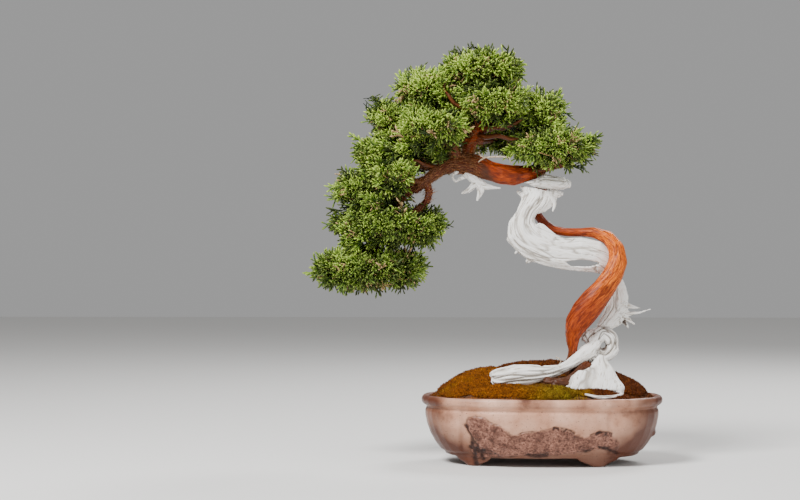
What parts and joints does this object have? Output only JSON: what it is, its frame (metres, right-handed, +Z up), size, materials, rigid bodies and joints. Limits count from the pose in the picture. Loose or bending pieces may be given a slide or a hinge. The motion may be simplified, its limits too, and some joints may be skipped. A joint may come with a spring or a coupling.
{
  "type": "potted bonsai tree",
  "caption": "Driftwood-style juniper bonsai with a twisting live trunk, bleached deadwood and layered foliage pads leaning to one side, in a shallow oval footed pot with mossy soil.",
  "frame": {"origin": "on the surface the pot stands on, under the middle of the whole object's box", "axes": "+Z up, -Y to the front, so the foliage cascades to -X"},
  "size_m": [0.5284, 0.22, 0.6174],
  "materials": {
    "pot": "satin",
    "screen": "matte",
    "wire": "satin",
    "soil": "matte",
    "moss": "matte",
    "bark": "satin",
    "deadwood": "matte",
    "twig": "matte",
    "foliage": "matte"
  },
  "bodies": {
    "root": {"pot": "pot", "drain_screen_left": "screen", "drain_screen_right": "screen", "drain_clip_left": "wire", "drain_clip_right": "wire", "soil": "soil", "live_trunk": "bark", "bark_root": "bark", "dry_twig": "twig", "moss_left": "moss", "moss_right": "moss", "moss_front": "moss", "moss_rear": "moss", "moss_front_left": "moss", "moss_front_right": "moss", "deadwood_trunk": "deadwood", "deadwood_crown": "deadwood", "deadwood_lower": "deadwood", "deadwood_knot_root": "deadwood", "deadwood_front_root": "deadwood", "deadwood_rim_root": "deadwood", "deadwood_jin": "deadwood", "foliage_apex": "foliage", "foliage_right": "foliage", "foliage_shoulder": "foliage", "foliage_upper_right": "foliage", "foliage_upper_left": "foliage", "foliage_centre_left": "foliage", "foliage_far_left": "foliage", "foliage_left": "foliage", "foliage_left_front": "foliage", "foliage_cascade": "foliage", "foliage_lower": "foliage", "foliage_lowest": "foliage", "foliage_rear_top": "foliage", "foliage_rear_right": "foliage", "foliage_rear_left": "foliage"}
  },
  "joints": []
}
